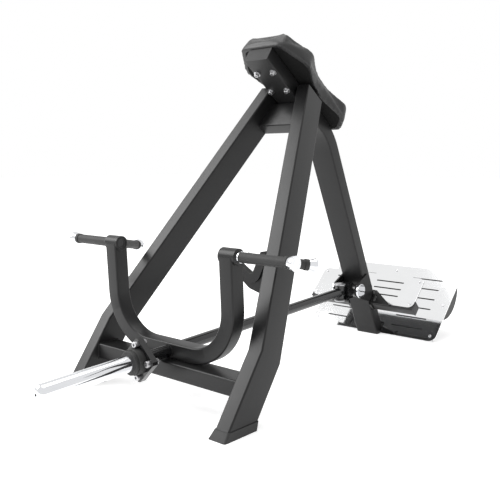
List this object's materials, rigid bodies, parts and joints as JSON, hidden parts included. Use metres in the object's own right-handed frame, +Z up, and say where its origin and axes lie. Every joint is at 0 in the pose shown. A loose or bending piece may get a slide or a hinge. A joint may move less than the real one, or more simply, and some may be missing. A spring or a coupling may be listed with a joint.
{
  "type": "chest-supported lever row machine",
  "caption": "Plate-loaded chest-supported row: sloping pad on a leaning leg frame, hinged lever with a yoke of grips and a weight sleeve, slotted footplates behind.",
  "frame": {"origin": "on the floor, under the middle of the footprint", "axes": "+Z up, +Y from the weight sleeve towards the footplates, +X to the side with the catch hook"},
  "size_m": [0.9614, 1.8806, 1.1595],
  "materials": {
    "frame_paint": "satin charcoal powder coat",
    "lever_paint": "gloss black",
    "chrome": "polished",
    "stainless": "bright stainless sheet",
    "fasteners": "zinc plated",
    "pins": "ground steel",
    "bronze": "plain bearing",
    "rubber": "matt black",
    "plastic": "black",
    "upholstery": "smooth black vinyl",
    "board_cloth": "black cover cloth over a board"
  },
  "bodies": {
    "frame": {"front_leg_left": "frame_paint", "front_leg_right": "frame_paint", "lower_cross_tube": "frame_paint", "upper_cross_tube": "frame_paint", "rear_post": "frame_paint", "beam_end_plate": "frame_paint", "catch_hook": "frame_paint", "catch_web": "frame_paint", "pivot_cheek_left": "frame_paint", "pivot_cheek_right": "frame_paint", "spine_tube": "frame_paint", "rear_foot_tube": "frame_paint", "footplate_props": "frame_paint", "footplate_rails": "frame_paint", "footplate_skirts": "frame_paint", "step_tubes": "frame_paint", "step_brackets": "frame_paint", "step_gussets": "frame_paint", "step_rails": "frame_paint", "pin_discs": "chrome", "footplate": "stainless", "step_plate": "stainless", "pad_bolts": "fasteners", "pad_washers": "fasteners", "tread_screws": "fasteners", "cross_pin": "pins", "foot_cap_left": "rubber", "foot_cap_right": "rubber", "yoke_stop_pads": "rubber", "post_foot": "rubber", "catch_liner": "rubber", "rear_foot_pads": "rubber", "thrust_rings": "plastic", "step_tube_caps": "plastic", "chest_pad": "upholstery", "pad_board": "board_cloth"},
    "swivel": {"knuckle": "lever_paint", "hub_bushes": "bronze", "swivel_pin": "pins", "swivel_caps": "pins"},
    "lever": {"swivel_barrel": "lever_paint", "barrel_bushes": "bronze", "lever_bar": "lever_paint", "flange_rear_plate": "lever_paint", "flange_front_plate": "lever_paint", "flange_bolts": "fasteners", "flange_nuts": "fasteners", "collar_bumper": "rubber", "weight_sleeve": "chrome", "sleeve_end_plug": "chrome", "yoke": "frame_paint", "handle_boss_left": "frame_paint", "handle_boss_right": "frame_paint", "boss_end_discs": "plastic", "outer_grip_bars": "pins", "rear_grip_bars": "pins", "outer_grips": "rubber", "rear_grips": "rubber", "grip_rings": "chrome", "grip_end_caps": "chrome"}
  },
  "joints": [
    {"name": "lever_lift", "type": "hinge", "parent": "frame", "child": "swivel", "pos_m": [0, 0.51821, 0.21], "axis": [-1, 0, 0], "range_deg": [0, 38]},
    {"name": "lever_swing", "type": "hinge", "parent": "swivel", "child": "lever", "pos_m": [0, 0.4573, 0.20688], "axis": [0, -0.0511, 0.9987], "range_deg": [-1.5, 1.5]}
  ]
}
